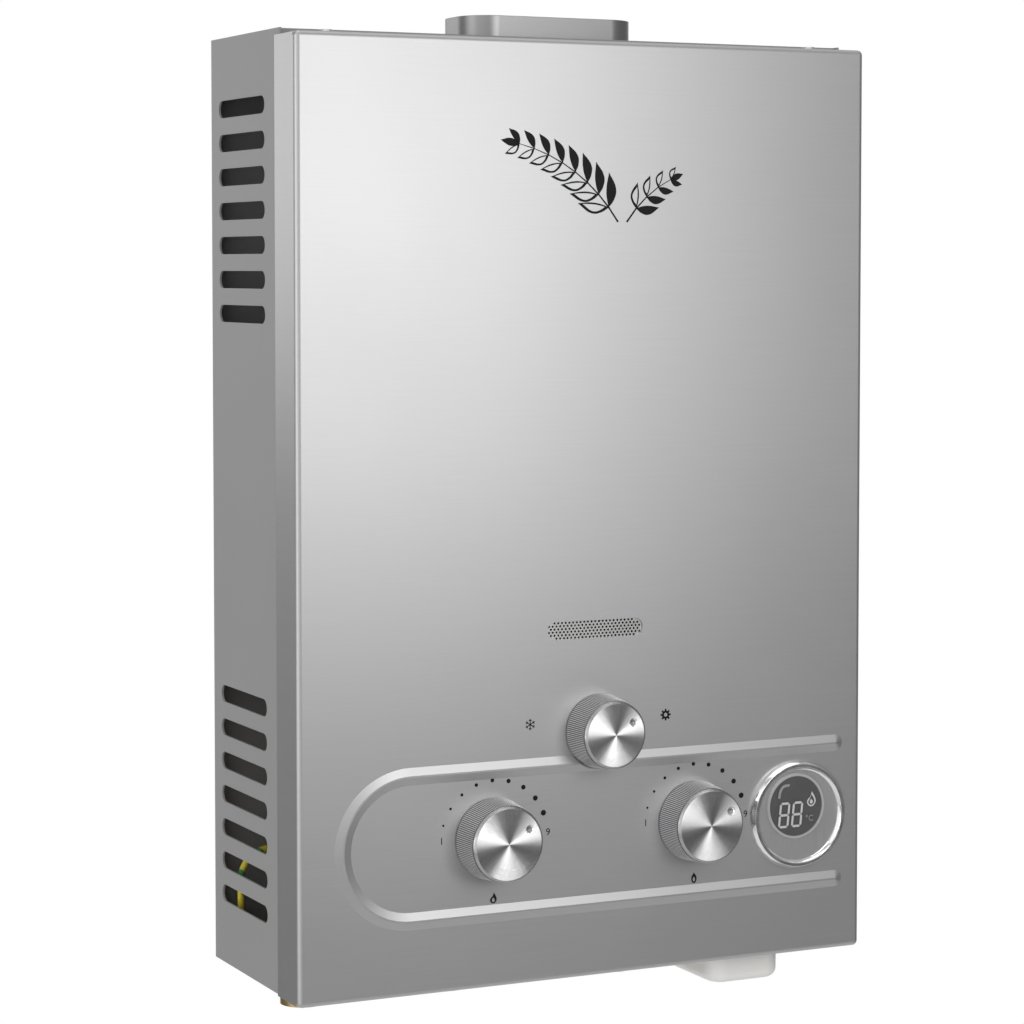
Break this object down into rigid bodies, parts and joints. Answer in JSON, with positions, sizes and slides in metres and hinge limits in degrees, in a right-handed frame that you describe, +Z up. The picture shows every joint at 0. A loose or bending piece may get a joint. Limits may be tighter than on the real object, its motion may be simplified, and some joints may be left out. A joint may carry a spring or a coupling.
{
  "type": "tankless gas water heater",
  "caption": "Wall-hung instant gas water heater: flat sheet metal case, flue collar on top, turning control knobs, round display, flame window and drop-down battery lid.",
  "frame": {"origin": "on the wall plane, at the centre of the back plate's width and at the front cover's mid height", "axes": "+X to the right as seen from the front, +Y back into the wall, +Z up"},
  "size_m": [0.29, 0.126, 0.4581],
  "materials": {
    "stainless_front": "fine vertical brushing, soft satin",
    "case_silver": "satin silver paint",
    "inner_plate": "galvanised sheet",
    "screw_steel": "zinc plated",
    "perforated_steel": "perforated sheet",
    "window_glass": "clear heat-proof strip",
    "copper": "bright copper",
    "brass": "machined",
    "cast_aluminium": "die cast",
    "burner_steel": "stainless sheet",
    "rubber_black": "matte",
    "ceramic_white": "glazed ceramic",
    "lead_white": "silicone sleeve",
    "earth_green_yellow": "yellow and green sleeve",
    "control_plastic": "moulded",
    "knob_silver": "silver painted moulding",
    "knob_face": "spun metal",
    "bezel_chrome": "polished",
    "dial_silver": "vertically brushed",
    "window_black": "smoked",
    "board_green": "circuit board",
    "tray_plastic": "fine moulded grain",
    "battery_sleeve": "plain sleeve"
  },
  "bodies": {
    "case": {"front_cover": "stainless_front", "rear_case": "case_silver", "case_top_plate": "case_silver", "case_bottom_plate": "case_silver", "case_screws": "screw_steel", "sight_grille": "perforated_steel", "sight_glass": "window_glass", "flue_collar": "case_silver", "flue_hood": "inner_plate", "combustion_chamber": "copper", "fin_block": "copper", "exchanger_coil": "copper", "cold_pipe": "copper", "hot_pipe": "copper", "pipe_nuts": "brass", "mounting_brackets": "inner_plate", "burner_frame": "burner_steel", "burner_blades": "burner_steel", "gas_manifold": "cast_aluminium", "gas_injectors": "brass", "season_valve_body": "cast_aluminium", "gas_valve_body": "cast_aluminium", "valve_caps": "inner_plate", "water_valve_body": "brass", "water_valve_cover": "brass", "diaphragm": "rubber_black", "valve_screws": "screw_steel", "micro_switch": "control_plastic", "solenoid_body": "inner_plate", "gas_inlet_fitting": "brass", "cold_inlet_fitting": "brass", "hot_outlet_fitting": "brass", "relief_valve": "brass", "port_grommets": "rubber_black", "igniter_box": "control_plastic", "electrodes": "ceramic_white", "ignition_leads": "lead_white", "earth_wire": "earth_green_yellow", "overheat_thermostat": "control_plastic", "display_bezel": "bezel_chrome", "display_dial": "dial_silver", "display_window": "window_black", "display_housing": "control_plastic", "display_board": "board_green", "battery_box": "control_plastic", "batteries": "battery_sleeve"},
    "gas_control": {"gas_knob": "knob_silver", "gas_knob_cap": "knob_face", "gas_spindle": "brass"},
    "water_control": {"water_knob": "knob_silver", "water_knob_cap": "knob_face", "water_spindle": "brass"},
    "season_control": {"season_knob": "knob_silver", "season_knob_cap": "knob_face", "season_spindle": "brass"},
    "water_push_rod": {"push_rod": "screw_steel"},
    "switch_lever": {"micro_switch_lever": "screw_steel"},
    "safety_plunger": {"solenoid_plunger": "screw_steel"},
    "battery_lid": {"battery_cover": "tray_plastic"}
  },
  "joints": [
    {"name": "gas_turn", "type": "hinge", "parent": "case", "child": "gas_control", "pos_m": [-0.05, -0.109, -0.1467], "axis": [0, -1, 0], "range_deg": [-12, 131]},
    {"name": "water_turn", "type": "hinge", "parent": "case", "child": "water_control", "pos_m": [0.054, -0.109, -0.1467], "axis": [0, -1, 0], "range_deg": [-12, 131]},
    {"name": "season_turn", "type": "hinge", "parent": "case", "child": "season_control", "pos_m": [0.004, -0.109, -0.101], "axis": [0, -1, 0], "range_deg": [-25, 143]},
    {"name": "push_rod_slide", "type": "slide", "parent": "case", "child": "water_push_rod", "axis": [-1, 0, 0], "range_m": [0, 0.003], "stiffness_N_per_m": 300},
    {"name": "switch_lever_swing", "type": "hinge", "parent": "case", "child": "switch_lever", "pos_m": [-0.0185, -0.058, -0.1347], "axis": [0, 1, 0], "range_deg": [0, 26]},
    {"name": "plunger_slide", "type": "slide", "parent": "case", "child": "safety_plunger", "axis": [-1, 0, 0], "range_m": [0, 0.0025], "stiffness_N_per_m": 400},
    {"name": "battery_lid_swing", "type": "hinge", "parent": "case", "child": "battery_lid", "pos_m": [0.0913, -0.024, -0.2182], "axis": [1, 0, 0], "range_deg": [0, 90]}
  ],
  "couplings": [
    {"joint": "switch_lever_swing", "follows": "push_rod_slide", "rad_per_m": 148.3}
  ]
}
